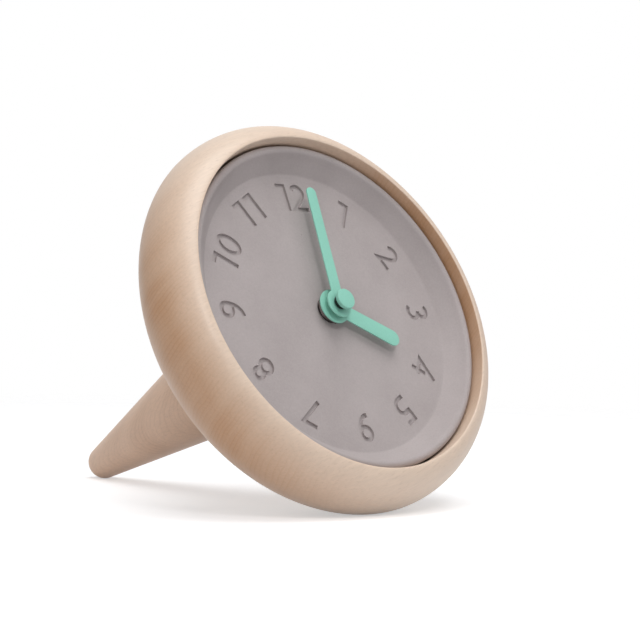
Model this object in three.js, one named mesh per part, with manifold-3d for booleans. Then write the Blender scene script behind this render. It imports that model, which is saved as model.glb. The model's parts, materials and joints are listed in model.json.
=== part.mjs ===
// Table clock in the shape of a spinning top. A turned wooden bowl holds a dished concrete dial,
// and a conical leg on the bowl's axis props the dial up at an angle.
// Sizes are in millimetres. The clock is drawn with its axis along Z: the dial faces +Z, 12 o'clock is +Y,
// and zero height is the plane of the bowl's largest radius. A last group leans it back onto its leg.
import * as THREE from "three";
import { mergeVertices } from "three/addons/utils/BufferGeometryUtils.js";
import Module from "manifold-3d";

const wasm = await Module();
wasm.setup();

// Clearances
const seatGap = 0.25; // pieces that rest on or sit in each other
const runningGap = 0.35; // pieces that turn past each other
const overrun = 1; // how far a cut reaches past the surface it opens
const weld = 0.0002; // corners closer than this are one corner

// Fineness of round pieces: sides of a full turn, and steps of an arc
const bowlSides = 64;
const legSides = 40;
const smallSides = 24;
const hiddenSides = 16;
const postSides = 12;
const pivotSides = 8;
const hexSides = 6;
const curveSteps = 8;
const arcSteps = 6;
const handSteps = 10;
const fineSteps = 400; // of the flank, where it looks for the point that touches the table
const halvings = 60; // of the search for the resting tilt

// Bowl outline
const bowlRadius = 80;
const lipWidth = 11; // from the widest ring in to the edge of the opening
const lipHeight = 17.5;
const backRadius = 56;
const backDepth = 25;
const lipHandleShare = 0.3; // of the flank's width in front
const frontHandleShare = 0.7; // of the lip's height
const rearHandleShare = 0.42; // of the back's depth
const heelHandleShare = 0.37; // of the flank's width behind
const restLand = 3; // width of the narrow band that touches the table

// Bowl inside
const lipDraft = 0.4;
const lipRound = 0.9;
const grooveWidth = 9;
const shoulderWidth = 5.6; // ledge between the groove and the hollow
const floorThickness = 7;
const counterboreRadius = 17;

// Dial: a cast dish that drops into the bowl
const dialFit = 0.8; // gap all round
const dialFaceHeight = 6;
const dialThickness = 5;
const dialConeWidth = 6.2; // slope between the face and the rim, seen from the front
const rimHeight = 7.5;
const rimWidth = 2.9;
const rimRound = 0.3;
const dialHeelChamfer = 1.3;

// Magnets in the bowl and steel discs under the dial
const magnetCount = 3;
const magnetRadius = 4;
const magnetThickness = 1.9;
const steelDiscThickness = 1;

// Leg and its fastening
const legRootRadius = 26;
const legTipRadius = 7.2;
const legReach = 157;
const tenonRadius = 11;
const tenonLength = 4;
const insertRadius = 4;
const insertLength = 12;
const boltRadius = 2.5;
const boltLength = 13.5;
const boltHeadRadius = 4.75;
const boltHeadHeight = 2.6;
const boltHeadEdge = 0.9; // upright edge below the dome
const boltHeadTopShare = 0.45; // flat top of the domed head, of its radius
const hexKeyWidth = 3;
const hexKeyDepth = 1.4;
const legWasherRadius = 15;
const legWasherThickness = 1.2;

// Quartz movement case
const movementSize = 56;
const movementDepth = 16;
const caseCorner = 4;
const caseWall = 1.2;
const frontCaseDepth = 12;
const partitionWall = 1;
const gasketThickness = 0.8;
const gasketRadius = 13;

// Threaded bush, washer and nut that clamp the dial
const bushRadius = 4;
const bushBoreRadius = 2.9;
const bushStand = 0.1; // bush in front of the nut
const washerRadius = 6.9;
const washerThickness = 0.5;
const nutWidth = 11; // across flats
const nutThickness = 2;

// Hands and their arbors
const hourPipeRadius = 2.55;
const minuteArborRadius = 1.5;
const arborBoreRadius = 0.75;
const hourHandLength = 32.2;
const hourHandRootWidth = 6.2;
const hourHandTipWidth = 6.7;
const hourHubRadius = 7;
const handThickness = 0.5;
const minuteHandLength = 49.8;
const minuteHandRootWidth = 5;
const minuteHandTipWidth = 4.7;
const minuteHubRadius = 5.75;
const handSpacing = 2.45; // clear height between the two hands
const collarRadius = 2.9;
const collarHeight = 2;
const capRadius = 4.1;
const capHeight = 1.65;
const capRound = 0.3;
const arborEndInCap = 0.9;
const hourHandAngle = 117; // degrees clockwise from 12
const minuteHandAngle = 4;

// Gears of the motion work: cannon pinion, minute wheel with its pinion, hour wheel, setting pinion
const cannonTeeth = 12;
const minuteWheelTeeth = 36;
const minutePinionTeeth = 10;
const hourWheelTeeth = 40;
const setPinionTeeth = 12;
const motionModule = 0.4; // millimetres of pitch diameter for each tooth
const wheelThickness = 1.2;
const wheelSpacing = 0.7; // clear height between wheels on neighbouring levels
const toothAddendumShare = 0.9; // of the module
const toothDedendumShare = 1.25;
const toothRootShare = 0.29; // half a tooth's width at its root, of the pitch
const toothTipShare = 0.11;
const minuteWheelBearing = 20; // degrees, direction from the centre to the minute wheel
const setKnobBearing = -10; // degrees, direction from the minute wheel to the setting knob
const wheelPostRadius = 0.8;
const setShaftRadius = 1;
const setKnobRadius = 4.9;
const setKnobHeight = 1.7;
const setKnobNotches = 12;
const setKnobNotchDepth = 0.35;
const setKnobStand = 0.6; // knob behind the case's back

// Wheel train from the motor's rotor to the minute arbor, carried by a bridge
const centreModule = 0.31;
const trainModule = 0.29;
const centreWheelTeeth = 40;
const slowPinionTeeth = 8;
const trainWheelTeeth = 36;
const trainPinionTeeth = 6;
const trainThickness = 0.7;
const trainSpacing = 0.4; // clear height between wheels on neighbouring levels
const slowWheelBearing = 150; // degrees, direction from the centre to the slow wheel
const pivotRadius = 0.35;
const pivotDepth = 0.7;
const rotorStand = 0.75; // rotor behind the stator
const bridgeThickness = 0.8;
const bridgeMargin = 2.5; // around the posts
const bridgePostX = -14.5;
const bridgePostY = -1;
const bridgePostRadius = 2.4;

// Battery, size AA
const batteryRadius = 7.1;
const batteryLength = 49.3;
const batteryNubRadius = 2.75;
const batteryNubLength = 1.2;
const batteryCrimp = 0.5;
const contactThickness = 0.4;
const contactWidth = 10;

// Electronics
const boardThickness = 0.8;
const boardWidth = 12;
const boardLength = 17;
const boardDepth = 10; // below the case's front
const chipDomeRadius = 3;
const chipPlaceShare = 0.33; // of the board's length
const crystalPlaceShare = 0.75;
const crystalRadius = 1;
const crystalLength = 6;
const coilLength = 20;
const coilRadius = 3.4;
const coilFlangeRadius = 4.2;
const coilFlangeThickness = 0.8;
const bobbinTubeWall = 0.6;
const coreWidth = 2.6;
const coreThickness = 1;
const coreEnd = 3.2; // core beyond each flange
const stackHeight = 9; // depth of the coil's axis below the case's front
const coilCentreX = -3;
const coilEdgeGap = 1;
const statorThickness = 0.8;
const statorBar = 3;
const statorReach = 8; // from the coil's axis to the rotor
const rotorHoleRadius = 2.2;
const statorPoleRadius = 3.8;
const statorPostRadius = 1.6; // posts of the front case that carry the stator

// Levels along the axis, worked out from the sizes above
const lipInnerRadius = bowlRadius - lipWidth;
const boreRadius = lipInnerRadius - lipDraft;
const dialRadius = boreRadius - dialFit;
const dialBack = dialFaceHeight - dialThickness;
const rimTop = dialFaceHeight + rimHeight;
const rimInnerRadius = dialRadius - rimWidth;
const dialFaceRadius = rimInnerRadius - dialConeWidth;
const shoulderTop = dialBack - seatGap;
const steelDiscTop = dialBack - seatGap;
const steelDiscBottom = steelDiscTop - steelDiscThickness;
const magnetTop = steelDiscBottom - seatGap;
const magnetBottom = magnetTop - magnetThickness;
const grooveFloor = magnetBottom - seatGap;
const grooveInnerRadius = boreRadius - grooveWidth;
const magnetCircle = (boreRadius + grooveInnerRadius) / 2;
const cavityRadius = grooveInnerRadius - shoulderWidth;
const cavityFloor = floorThickness - backDepth;
const counterboreFloor = tenonLength - backDepth;
const gasketTop = dialBack - seatGap;
const gasketBottom = gasketTop - gasketThickness;
const caseFront = gasketBottom - seatGap;
const caseInside = caseFront - caseWall;
const caseBack = caseFront - movementDepth;
const frontCaseBack = caseFront - frontCaseDepth;
const backCaseFront = frontCaseBack - seatGap;
const backCaseInside = caseBack + caseWall;
const washerBottom = dialFaceHeight + seatGap;
const washerTop = washerBottom + washerThickness;
const nutBottom = washerTop + seatGap;
const nutTop = nutBottom + nutThickness;
const bushTop = nutTop + bushStand;
const hourHandBottom = bushTop + seatGap;
const hourHandTop = hourHandBottom + handThickness;
const minuteHandBottom = hourHandTop + handSpacing;
const minuteHandTop = minuteHandBottom + handThickness;
const collarBottom = minuteHandTop + seatGap;
const collarTop = collarBottom + collarHeight;
const capBottom = collarTop + seatGap;
const capTop = capBottom + capHeight;
const arborTop = capBottom + arborEndInCap;
const hourWheelTop = caseInside - runningGap;
const hourWheelBottom = hourWheelTop - wheelThickness;
const minuteWheelTop = hourWheelBottom - wheelSpacing;
const minuteWheelBottom = minuteWheelTop - wheelThickness;
const cannonBottom = minuteWheelBottom - seatGap;
const bridgeTop = cannonBottom - runningGap;
const bridgeBottom = bridgeTop - bridgeThickness;
const centreWheelTop = bridgeBottom - trainSpacing;
const centreWheelBottom = centreWheelTop - trainThickness;
const slowWheelTop = centreWheelBottom - trainSpacing;
const slowWheelBottom = slowWheelTop - trainThickness;
const fastWheelTop = slowWheelBottom - trainSpacing;
const fastWheelBottom = fastWheelTop - trainThickness;
const pivotTop = bridgeTop - seatGap;
const pivotBottom = backCaseInside - pivotDepth + seatGap;
const legWasherBottom = counterboreFloor + seatGap;
const legWasherTop = legWasherBottom + legWasherThickness;
const boltHeadBottom = legWasherTop + seatGap;
const tenonTop = counterboreFloor - seatGap;
const legRoot = -backDepth - seatGap;

// Places across the axis
const degrees = Math.PI / 180;
const motionDistance = ((cannonTeeth + minuteWheelTeeth) / 2) * motionModule;
const hourModule = (2 * motionDistance) / (minutePinionTeeth + hourWheelTeeth);
const setDistance = ((setPinionTeeth + minuteWheelTeeth) / 2) * motionModule;
const minuteWheelX = motionDistance * Math.cos(minuteWheelBearing * degrees);
const minuteWheelY = motionDistance * Math.sin(minuteWheelBearing * degrees);
const setKnobX = minuteWheelX + setDistance * Math.cos(setKnobBearing * degrees);
const setKnobY = minuteWheelY + setDistance * Math.sin(setKnobBearing * degrees);
const caseInnerHalf = movementSize / 2 - caseWall;
const batteryY = -caseInnerHalf + batteryRadius + seatGap;
const batteryZ = caseInside - seatGap - batteryRadius;
const partitionBottom = batteryY + batteryRadius + seatGap;
const partitionTop = partitionBottom + partitionWall;
const coilY = caseInnerHalf - coilEdgeGap - coilFlangeRadius;
const coilZ = caseFront - stackHeight;
const coilHalf = coilLength / 2;
const coreHalf = coilHalf + coilFlangeThickness + coreEnd;
const statorFront = coilZ - coreThickness / 2 - seatGap;
const statorBack = statorFront - statorThickness;
const statorPostReach = coreHalf - statorBar / 2;

// The rotor turns in the stator. The fast wheel is as far from it as from the slow wheel.
const toSlowWheel = slowWheelBearing * degrees;
const centreDistance = ((centreWheelTeeth + slowPinionTeeth) / 2) * centreModule;
const trainDistance = ((trainWheelTeeth + trainPinionTeeth) / 2) * trainModule;
const slowWheelX = centreDistance * Math.cos(toSlowWheel);
const slowWheelY = centreDistance * Math.sin(toSlowWheel);
const rotorX = coilCentreX;
const rotorY = coilY - statorReach;
const toRotor = Math.atan2(rotorY - slowWheelY, rotorX - slowWheelX);
const halfApart = Math.hypot(rotorX - slowWheelX, rotorY - slowWheelY) / 2;
const toFastWheel = toRotor - Math.acos(halfApart / trainDistance);
const fastWheelX = slowWheelX + trainDistance * Math.cos(toFastWheel);
const fastWheelY = slowWheelY + trainDistance * Math.sin(toFastWheel);
const fastToRotor = Math.atan2(rotorY - fastWheelY, rotorX - fastWheelX);

// Colours of the finishes
const finish = (color, roughness, metalness = 0) =>
  new THREE.MeshStandardMaterial({ color, roughness, metalness });
const beech = finish(0xd9b99b, 0.6);
const concrete = finish(0xada3a3, 0.9);
const mintPaint = finish(0x8dc8b8, 0.5);
const steel = finish(0xb9babd, 0.35, 1);
const darkSteel = finish(0x4a4644, 0.35, 1);
const brass = finish(0xc2a15a, 0.35, 1);
const magnetPlate = finish(0xc8c8c8, 0.25, 1);
const blackPlastic = finish(0x1c1c1e, 0.5);
const whitePlastic = finish(0xe8e6df, 0.5);
const rubber = finish(0x262626, 0.9);
const copper = finish(0xb56a3c, 0.4, 1);
const boardGreen = finish(0x2f6b46, 0.5);
const batteryWrap = finish(0x3d5f7a, 0.4);

// A closed geometry with shared vertices, as a solid that can be joined and cut.
function solidOf(geometry) {
  const bare = geometry.clone();
  bare.deleteAttribute("normal");
  bare.deleteAttribute("uv");
  const merged = mergeVertices(bare, weld);
  const corners = [];
  for (let i = 0; i < merged.index.count; i += 3) {
    const [a, b, c] = [0, 1, 2].map((k) => merged.index.getX(i + k));
    if (a !== b && b !== c && c !== a) corners.push(a, b, c);
  }
  return new wasm.Manifold(
    new wasm.Mesh({
      numProp: 3,
      vertProperties: merged.attributes.position.array,
      triVerts: new Uint32Array(corners),
    }),
  );
}

function geometryOf(solid) {
  const { vertProperties, triVerts } = solid.getMesh();
  const geometry = new THREE.BufferGeometry();
  geometry.setAttribute("position", new THREE.BufferAttribute(vertProperties, 3));
  geometry.setIndex(new THREE.BufferAttribute(triVerts, 1));
  geometry.computeVertexNormals();
  return geometry;
}

const joined = (first, ...others) => others.reduce((sum, one) => sum.add(one), first);
const cut = (first, ...tools) => tools.reduce((rest, one) => rest.subtract(one), first);

// A profile of [radius, height] points, counter-clockwise, turned about Z. One side faces the table.
function turned(profile, sides, closed = false) {
  const points = profile.map(([r, z]) => new THREE.Vector2(r, z));
  if (closed) points.push(points[0].clone());
  const lathe = new THREE.LatheGeometry(points, sides, -Math.PI / sides);
  return solidOf(lathe.rotateX(Math.PI / 2));
}

const rod = (radius, bottom, top, sides = smallSides) =>
  turned([[0, bottom], [radius, bottom], [radius, top], [0, top]], sides);

const ring = (inner, outer, bottom, top, sides = smallSides) =>
  turned([[inner, bottom], [outer, bottom], [outer, top], [inner, top]], sides, true);

// A flat outline given its thickness along Z.
function plate(shape, bottom, top, steps = arcSteps) {
  const depth = top - bottom;
  const body = new THREE.ExtrudeGeometry(shape, { depth, bevelEnabled: false, curveSegments: steps });
  return solidOf(body.translate(0, 0, bottom));
}

function block(x0, x1, y0, y1, z0, z1) {
  const box = new THREE.BoxGeometry(x1 - x0, y1 - y0, z1 - z0);
  return solidOf(box.translate((x0 + x1) / 2, (y0 + y1) / 2, (z0 + z1) / 2));
}

function roundedRectangle(x0, x1, y0, y1, corner) {
  const shape = new THREE.Shape();
  shape.moveTo(x1, y0 + corner);
  shape.lineTo(x1, y1 - corner);
  shape.absarc(x1 - corner, y1 - corner, corner, 0, Math.PI / 2);
  shape.absarc(x0 + corner, y1 - corner, corner, Math.PI / 2, Math.PI);
  shape.absarc(x0 + corner, y0 + corner, corner, Math.PI, (3 * Math.PI) / 2);
  shape.absarc(x1 - corner, y0 + corner, corner, (3 * Math.PI) / 2, 2 * Math.PI);
  return shape;
}

const pointsOf = (curve, steps) => curve.getPoints(steps).map((p) => [p.x, p.y]);

// Bowl flanks, as curves of radius and height. The rear one runs up from the flat back to the widest ring,
// the front one on to the lip.
const flank = (...points) => new THREE.CubicBezierCurve(...points.map(([r, z]) => new THREE.Vector2(r, z)));
const rearFlank = flank(
  [backRadius, -backDepth],
  [backRadius + heelHandleShare * (bowlRadius - backRadius), -backDepth],
  [bowlRadius, -rearHandleShare * backDepth],
  [bowlRadius, 0],
);
const frontFlank = flank(
  [bowlRadius, 0],
  [bowlRadius, frontHandleShare * lipHeight],
  [lipInnerRadius + lipHandleShare * (bowlRadius - lipInnerRadius), lipHeight],
  [lipInnerRadius + lipRound, lipHeight],
);

// Leg outline: a cone that runs tangent into the round tip.
const tipCentre = legTipRadius - legReach;
const tipBearing =
  Math.atan2(legRoot - tipCentre, legRootRadius) -
  Math.acos(legTipRadius / Math.hypot(legRootRadius, legRoot - tipCentre));
const tipArc = new THREE.EllipseCurve(0, tipCentre, legTipRadius, legTipRadius, -Math.PI / 2, tipBearing);
const tipPoints = pointsOf(tipArc, arcSteps);

// The clock leans on the lowest side of the bowl's flank and of the leg's tip.
const flatOf = (sides) => Math.cos(Math.PI / sides); // middle of a side, as a share of the corner's radius
const heightAt = (tilt, sides) => ([r, z]) => z * Math.sin(tilt) - r * flatOf(sides) * Math.cos(tilt);
const lowest = (points, tilt, sides) => Math.min(...points.map(heightAt(tilt, sides)));
const rearFlankPoints = pointsOf(rearFlank, fineSteps);

function restingTilt() {
  let [low, high] = [0, Math.PI / 2];
  for (let i = 0; i < halvings; i++) {
    const middle = (low + high) / 2;
    const tipIsHigh = lowest(tipPoints, middle, legSides) > lowest(rearFlankPoints, middle, bowlSides);
    [low, high] = tipIsHigh ? [middle, high] : [low, middle];
  }
  return (low + high) / 2;
}
const tilt = restingTilt();
const restHeight = -lowest(rearFlankPoints, tilt, bowlSides);

// The band that touches the table is level there, so the side of the bowl rests flat.
function rearFlankWithLand() {
  const heights = rearFlankPoints.map(heightAt(tilt, bowlSides));
  const [r, z] = rearFlankPoints[heights.indexOf(Math.min(...heights))];
  const slope = new THREE.Vector2(Math.tan(tilt) / flatOf(bowlSides), 1).setLength(restLand / 2);
  const land = [[r - slope.x, z - slope.y], [r + slope.x, z + slope.y]];
  const curve = pointsOf(rearFlank, curveSteps);
  const before = curve.filter((p) => p[1] < land[0][1] - restLand / 2);
  const after = curve.filter((p) => p[1] > land[1][1] + restLand / 2);
  return [...before, ...land, ...after];
}

function bowlSolid() {
  return turned(
    [
      [tenonRadius + seatGap, -backDepth],
      ...rearFlankWithLand(),
      ...pointsOf(frontFlank, curveSteps).slice(1),
      [lipInnerRadius, lipHeight - lipRound],
      [boreRadius, rimTop],
      [boreRadius, grooveFloor],
      [grooveInnerRadius, grooveFloor],
      [grooveInnerRadius, shoulderTop],
      [cavityRadius, shoulderTop],
      [cavityRadius, cavityFloor],
      [counterboreRadius, cavityFloor],
      [counterboreRadius, counterboreFloor],
      [tenonRadius + seatGap, counterboreFloor],
    ],
    bowlSides,
    true,
  );
}

function dialSolid() {
  return turned(
    [
      [bushRadius + seatGap, dialBack],
      [dialRadius - dialHeelChamfer, dialBack],
      [dialRadius, dialBack + dialHeelChamfer],
      [dialRadius, rimTop - rimRound],
      [dialRadius - rimRound, rimTop],
      [rimInnerRadius + rimRound, rimTop],
      [rimInnerRadius, rimTop - rimRound],
      [dialFaceRadius, dialFaceHeight],
      [bushRadius + seatGap, dialFaceHeight],
    ],
    bowlSides,
    true,
  );
}

function legSolid() {
  const boreBottom = tenonTop - seatGap - insertLength - seatGap;
  return turned(
    [
      ...tipPoints,
      [legRootRadius, legRoot],
      [tenonRadius, legRoot],
      [tenonRadius, tenonTop],
      [insertRadius + seatGap, tenonTop],
      [insertRadius + seatGap, boreBottom],
      [0, boreBottom],
    ],
    legSides,
  );
}

function legBoltSolid() {
  const headTop = boltHeadBottom + boltHeadHeight;
  const body = turned(
    [
      [0, boltHeadBottom - boltLength],
      [boltRadius, boltHeadBottom - boltLength],
      [boltRadius, boltHeadBottom],
      [boltHeadRadius, boltHeadBottom],
      [boltHeadRadius, boltHeadBottom + boltHeadEdge],
      [boltHeadRadius * boltHeadTopShare, headTop],
      [0, headTop],
    ],
    hiddenSides,
  );
  const keyRadius = hexKeyWidth / 2 / Math.cos(Math.PI / hexSides);
  return cut(body, rod(keyRadius, headTop - hexKeyDepth, headTop + overrun, hexSides));
}

function legInsertSolid() {
  const top = tenonTop - seatGap;
  return ring(boltRadius + seatGap, insertRadius, top - insertLength, top, hiddenSides);
}

function nutSolid() {
  const cornerRadius = nutWidth / 2 / Math.cos(Math.PI / hexSides);
  const bore = rod(bushRadius + seatGap, nutBottom - overrun, nutTop + overrun);
  return cut(rod(cornerRadius, nutBottom, nutTop, hexSides), bore);
}

// Gear teeth as a closed outline: each tooth has two corners at its root, and two or one at its tip.
function gearShape(teeth, module, phase, tipShares = [-toothTipShare, toothTipShare]) {
  const pitch = (2 * Math.PI) / teeth;
  const rootRadius = (teeth / 2 - toothDedendumShare) * module;
  const tipRadius = (teeth / 2 + toothAddendumShare) * module;
  const points = [];
  for (let i = 0; i < teeth; i++) {
    const middle = phase + i * pitch;
    const corner = (radius, share) => {
      const angle = middle + share * pitch;
      return new THREE.Vector2(radius * Math.cos(angle), radius * Math.sin(angle));
    };
    const tips = tipShares.map((share) => corner(tipRadius, share));
    points.push(corner(rootRadius, -toothRootShare), ...tips, corner(rootRadius, toothRootShare));
  }
  return new THREE.Shape(points);
}

// Turn of a gear whose gap meets the tooth of its partner, which lies in the opposite direction to bearing.
function meshedPhase(partnerTeeth, partnerPhase, bearing, teeth) {
  const turns = ((bearing - partnerPhase) * partnerTeeth) / (2 * Math.PI);
  const past = turns - Math.floor(turns);
  return bearing + Math.PI + ((past + 1 / 2) * 2 * Math.PI) / teeth;
}
const toMinuteWheel = minuteWheelBearing * degrees;
const minuteWheelPhase = 0;
const cannonPhase = meshedPhase(minuteWheelTeeth, minuteWheelPhase, toMinuteWheel + Math.PI, cannonTeeth);
const setPhase = meshedPhase(minuteWheelTeeth, minuteWheelPhase, setKnobBearing * degrees, setPinionTeeth);
const hourPhase = meshedPhase(minutePinionTeeth, minuteWheelPhase, toMinuteWheel + Math.PI, hourWheelTeeth);

function minuteArborSolid() {
  const arborBottom = backCaseInside + runningGap;
  const cannon = gearShape(cannonTeeth, motionModule, cannonPhase);
  const outside = joined(
    rod(minuteArborRadius, arborBottom, arborTop, hiddenSides),
    plate(cannon, cannonBottom, minuteWheelTop + seatGap),
  );
  return cut(outside, rod(arborBoreRadius, arborBottom - overrun, arborTop + overrun, postSides));
}

function hourWheelSolid() {
  const outside = joined(
    rod(hourPipeRadius, hourWheelBottom, hourHandTop, hiddenSides),
    plate(gearShape(hourWheelTeeth, hourModule, hourPhase), hourWheelBottom, hourWheelTop),
  );
  const boreEnds = [hourWheelBottom - overrun, hourHandTop + overrun];
  const bore = rod(minuteArborRadius + runningGap, ...boreEnds, hiddenSides);
  return cut(outside, bore);
}

function minuteWheelSolid() {
  const outside = joined(
    plate(gearShape(minutePinionTeeth, hourModule, minuteWheelPhase), minuteWheelBottom, hourWheelTop),
    plate(gearShape(minuteWheelTeeth, motionModule, minuteWheelPhase), minuteWheelBottom, minuteWheelTop),
  );
  return cut(outside, rod(wheelPostRadius + seatGap, minuteWheelBottom - overrun, hourWheelTop + overrun));
}

// The train's wheels turn on thin pivots between the bridge and the case's back.
const slowPhase = 0;
const centrePhase = meshedPhase(slowPinionTeeth, slowPhase, toSlowWheel + Math.PI, centreWheelTeeth);
const fastPhase = meshedPhase(trainWheelTeeth, slowPhase, toFastWheel, trainPinionTeeth);
const rotorPhase = meshedPhase(trainWheelTeeth, fastPhase, fastToRotor, trainPinionTeeth);
const pivot = () => rod(pivotRadius, pivotBottom, pivotTop, pivotSides);
const fineGear = (teeth, module, phase, bottom, top) =>
  plate(gearShape(teeth, module, phase, [0]), bottom, top);

const centreWheelSolid = () =>
  cut(
    fineGear(centreWheelTeeth, centreModule, centrePhase, centreWheelBottom, centreWheelTop),
    rod(minuteArborRadius + seatGap, centreWheelBottom - overrun, centreWheelTop + overrun, hiddenSides),
  );

const slowWheelSolid = () =>
  joined(
    pivot(),
    fineGear(slowPinionTeeth, centreModule, slowPhase, slowWheelBottom, centreWheelTop),
    fineGear(trainWheelTeeth, trainModule, slowPhase, slowWheelBottom, slowWheelTop),
  );

const fastWheelSolid = () =>
  joined(
    pivot(),
    fineGear(trainPinionTeeth, trainModule, fastPhase, fastWheelBottom, slowWheelTop),
    fineGear(trainWheelTeeth, trainModule, fastPhase, fastWheelBottom, fastWheelTop),
  );

const rotorSolid = () =>
  joined(
    pivot(),
    fineGear(trainPinionTeeth, trainModule, rotorPhase, fastWheelBottom, fastWheelTop),
    rod(rotorHoleRadius - runningGap, statorBack - rotorStand, fastWheelBottom - runningGap, postSides),
  );

// Bridge: a flat plate with a hole for each pivot and for the arbor. The stator's posts pass through it.
const statorPosts = [-1, 1].map((side) => [rotorX + side * statorPostReach, rotorY]);
const trainPivots = [[slowWheelX, slowWheelY], [fastWheelX, fastWheelY], [rotorX, rotorY]];
function trainBridgeSolid() {
  const [[left], [right, top]] = statorPosts;
  const outline = roundedRectangle(
    left - bridgeMargin,
    right + bridgeMargin,
    bridgePostY - bridgeMargin,
    top + bridgeMargin,
    bridgeMargin,
  );
  const hole = (radius, [x, y], sides) =>
    rod(radius, bridgeBottom - overrun, bridgeTop + overrun, sides).translate([x, y, 0]);
  return cut(
    plate(outline, bridgeBottom, bridgeTop),
    hole(minuteArborRadius + runningGap, [0, 0], postSides),
    ...statorPosts.map((place) => hole(statorPostRadius + seatGap, place, postSides)),
    ...trainPivots.map((place) => hole(pivotRadius + seatGap, place, pivotSides)),
  );
}

// Setting knob: a notched disc in the case's back, on a shaft with the setting pinion at its front end.
function setKnobSolid() {
  const knobBottom = caseBack - setKnobStand;
  const knobTop = knobBottom + setKnobHeight;
  const shape = new THREE.Shape();
  const corners = 4 * setKnobNotches;
  for (let i = 0; i < corners; i++) {
    const radius = i % 4 < 2 ? setKnobRadius : setKnobRadius - setKnobNotchDepth;
    const angle = (i * 2 * Math.PI) / corners;
    const [x, y] = [radius * Math.cos(angle), radius * Math.sin(angle)];
    if (i) shape.lineTo(x, y);
    else shape.moveTo(x, y);
  }
  const pinion = gearShape(setPinionTeeth, motionModule, setPhase);
  return joined(
    plate(shape, knobBottom, knobTop),
    rod(setShaftRadius, knobBottom + overrun, minuteWheelTop, postSides),
    plate(pinion, cannonBottom, minuteWheelTop + seatGap),
  );
}

// A hand: a round hub, and a blade with a round tip along +Y.
function handShape(length, rootWidth, tipWidth, hubRadius, boreRadiusOfHand) {
  const tipRadius = tipWidth / 2;
  const rootAngle = Math.asin(rootWidth / 2 / hubRadius);
  const shape = new THREE.Shape();
  shape.moveTo(tipRadius, length - tipRadius);
  shape.absarc(0, length - tipRadius, tipRadius, 0, Math.PI);
  shape.lineTo(-rootWidth / 2, hubRadius * Math.cos(rootAngle));
  shape.absarc(0, 0, hubRadius, Math.PI / 2 + rootAngle, (5 * Math.PI) / 2 - rootAngle);
  shape.closePath();
  shape.holes.push(new THREE.Path().absarc(0, 0, boreRadiusOfHand, 0, 2 * Math.PI, true));
  return shape;
}
const hourHandSolid = () =>
  plate(
    handShape(hourHandLength, hourHandRootWidth, hourHandTipWidth, hourHubRadius, hourPipeRadius + seatGap),
    hourHandBottom,
    hourHandTop,
    handSteps,
  );
const minuteHandSolid = () =>
  plate(
    handShape(
      minuteHandLength,
      minuteHandRootWidth,
      minuteHandTipWidth,
      minuteHubRadius,
      minuteArborRadius + seatGap,
    ),
    minuteHandBottom,
    minuteHandTop,
    handSteps,
  );

function capSolid() {
  const boreTop = arborTop + seatGap;
  return turned(
    [
      [minuteArborRadius + seatGap, capBottom],
      [capRadius, capBottom],
      [capRadius, capTop - capRound],
      [capRadius - capRound, capTop],
      [0, capTop],
      [0, boreTop],
      [minuteArborRadius + seatGap, boreTop],
    ],
    smallSides,
    true,
  );
}

// Front half of the movement's case, with the moulded bush, the battery partition and the wheel's post.
function frontCaseSolid() {
  const half = movementSize / 2;
  const outside = plate(roundedRectangle(-half, half, -half, half, caseCorner), frontCaseBack, caseFront);
  const inner = caseInnerHalf;
  const hollow = plate(
    roundedRectangle(-inner, inner, -inner, inner, caseCorner - caseWall),
    frontCaseBack - overrun,
    caseInside,
  );
  const wallOverlap = caseWall / 2;
  const partition = block(
    -inner - wallOverlap,
    inner + wallOverlap,
    partitionBottom,
    partitionTop,
    frontCaseBack,
    caseInside + wallOverlap,
  );
  const bush = rod(bushRadius, caseFront - wallOverlap, bushTop);
  const post = (radius, bottom, [x, y]) =>
    rod(radius, bottom, caseFront - wallOverlap, postSides).translate([x, y, 0]);
  const shoulders = [...statorPosts, [bridgePostX, bridgePostY]];
  const shell = joined(
    cut(outside, hollow),
    partition,
    bush,
    post(wheelPostRadius, cannonBottom, [minuteWheelX, minuteWheelY]),
    ...shoulders.map((place) => post(bridgePostRadius, bridgeTop + seatGap, place)),
    ...statorPosts.map((place) => post(statorPostRadius, statorFront + seatGap, place)),
  );
  return cut(shell, rod(bushBoreRadius, caseInside - overrun, bushTop + overrun));
}

// Back half, with a window for the battery, a recess for the knob and a pivot for the arbor.
function backCaseSolid() {
  const half = movementSize / 2;
  const inner = caseInnerHalf;
  const outside = plate(roundedRectangle(-half, half, -half, half, caseCorner), caseBack, backCaseFront);
  const knobPocket = setKnobRadius + runningGap;
  const bosses = joined(
    rod(knobPocket + caseWall, caseBack, backCaseFront, hiddenSides).translate([setKnobX, setKnobY, 0]),
    rod(minuteArborRadius + runningGap + caseWall, caseBack, backCaseFront, hiddenSides),
  );
  const works = block(-inner, inner, partitionTop, inner, backCaseInside, backCaseFront + overrun);
  const window = block(-inner, inner, -inner, partitionBottom, caseBack - overrun, backCaseFront + overrun);
  const shell = joined(cut(outside, works, window), bosses);
  const recessTop = caseBack + setKnobHeight - setKnobStand + runningGap;
  const knobRecess = rod(knobPocket, caseBack - overrun, recessTop);
  const above = backCaseFront + overrun;
  const shaftHole = rod(setShaftRadius + runningGap, caseBack - overrun, above, postSides);
  const pivotHole = rod(minuteArborRadius + runningGap, backCaseInside, above, hiddenSides);
  const cup = () =>
    rod(pivotRadius + seatGap, backCaseInside - pivotDepth, backCaseInside + overrun, pivotSides);
  return cut(
    shell,
    joined(knobRecess, shaftHole).translate([setKnobX, setKnobY, 0]),
    pivotHole,
    ...trainPivots.map(([x, y]) => cup().translate([x, y, 0])),
  );
}

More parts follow.
